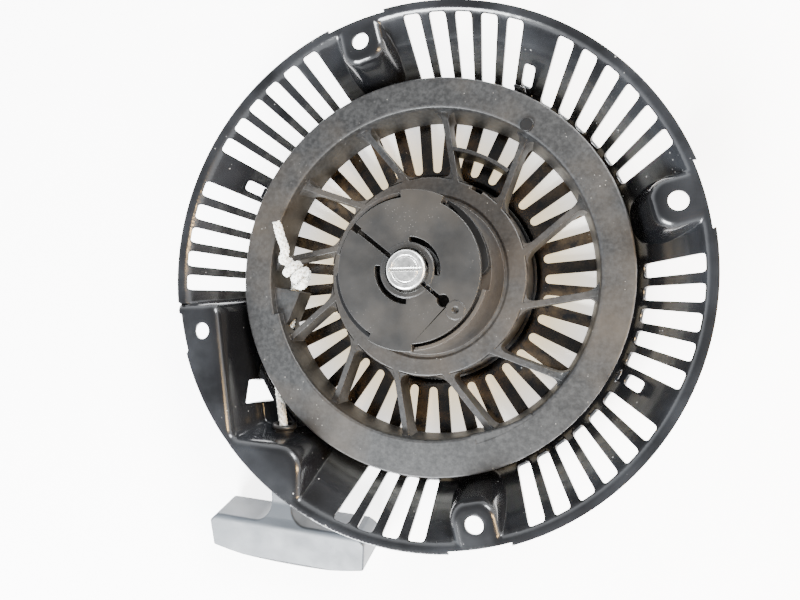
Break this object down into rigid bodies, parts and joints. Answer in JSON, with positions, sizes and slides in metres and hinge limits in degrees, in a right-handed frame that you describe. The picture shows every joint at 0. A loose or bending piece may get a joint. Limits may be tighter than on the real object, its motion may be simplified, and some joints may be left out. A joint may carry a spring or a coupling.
{
  "type": "recoil starter",
  "caption": "hand recoil starter with slotted steel housing, rope pulley, friction plate, pawls, rope and T handle",
  "frame": {"origin": "centre of the bolt circle, in the plane of the mounting face", "axes": "+Z points to the engine along the pulley's axis; the rope leaves towards -Y; +X is to the right when the open side is seen from the engine"},
  "size_m": [0.26, 0.2835, 0.064],
  "materials": {
    "black_paint": "gloss",
    "dark_steel": "satin",
    "bright_steel": "turned",
    "zinc": "zinc plated",
    "spring_steel": "drawn",
    "black_plastic": "satin moulded",
    "bronze": "turned",
    "rope": "braided",
    "pawl_plastic": "moulded",
    "grip_plastic": "satin moulded"
  },
  "bodies": {
    "housing": {"housing": "black_paint", "rope_eyelet": "dark_steel", "centre_post": "bright_steel", "centre_screw": "zinc", "screw_washer": "zinc", "thrust_washer": "zinc", "rewind_spring": "spring_steel"},
    "pulley": {"pulley": "black_plastic", "hub_bushing": "bronze", "spring_keeper": "dark_steel", "pulley_pin": "black_plastic", "rope_winding": "rope", "rope_knot": "rope", "friction_spring": "spring_steel"},
    "plate": {"friction_plate": "black_plastic"},
    "pawl_a": {"pawl_1": "pawl_plastic"},
    "pawl_b": {"pawl_2": "pawl_plastic"},
    "handle": {"handle_grip": "grip_plastic", "handle_insert": "bright_steel", "handle_rope": "rope", "handle_knot": "rope", "rope_run": "rope"}
  },
  "joints": [
    {"name": "pulley_spin", "type": "hinge", "parent": "housing", "child": "pulley", "pos_m": [0, 0, 0], "axis": [0, 0, 1], "range_deg": [0, 990], "stiffness_Nm_per_rad": 0.0665, "springref_deg": -389.61, "deforming": ["rewind_spring"]},
    {"name": "handle_pull", "type": "slide", "parent": "housing", "child": "handle", "axis": [0, -1, 0], "range_m": [0, 1.53], "deforming": ["rope_run"]},
    {"name": "plate_turn", "type": "hinge", "parent": "pulley", "child": "plate", "pos_m": [0, 0, 0], "axis": [0, 0, -1], "range_deg": [0, 22]},
    {"name": "pawl_a_swing", "type": "hinge", "parent": "pulley", "child": "pawl_a", "pos_m": [0.03088, 0.0027, 0.002], "axis": [0, 0, -1], "range_deg": [0, 20]},
    {"name": "pawl_b_swing", "type": "hinge", "parent": "pulley", "child": "pawl_b", "pos_m": [-0.03088, -0.0027, 0.002], "axis": [0, 0, -1], "range_deg": [0, 20]}
  ],
  "couplings": [
    {"joint": "handle_pull", "follows": "pulley_spin", "m_per_rad": 0.0883},
    {"joint": "pawl_a_swing", "follows": "plate_turn", "ratio": 0.9},
    {"joint": "pawl_b_swing", "follows": "plate_turn", "ratio": 0.9}
  ]
}
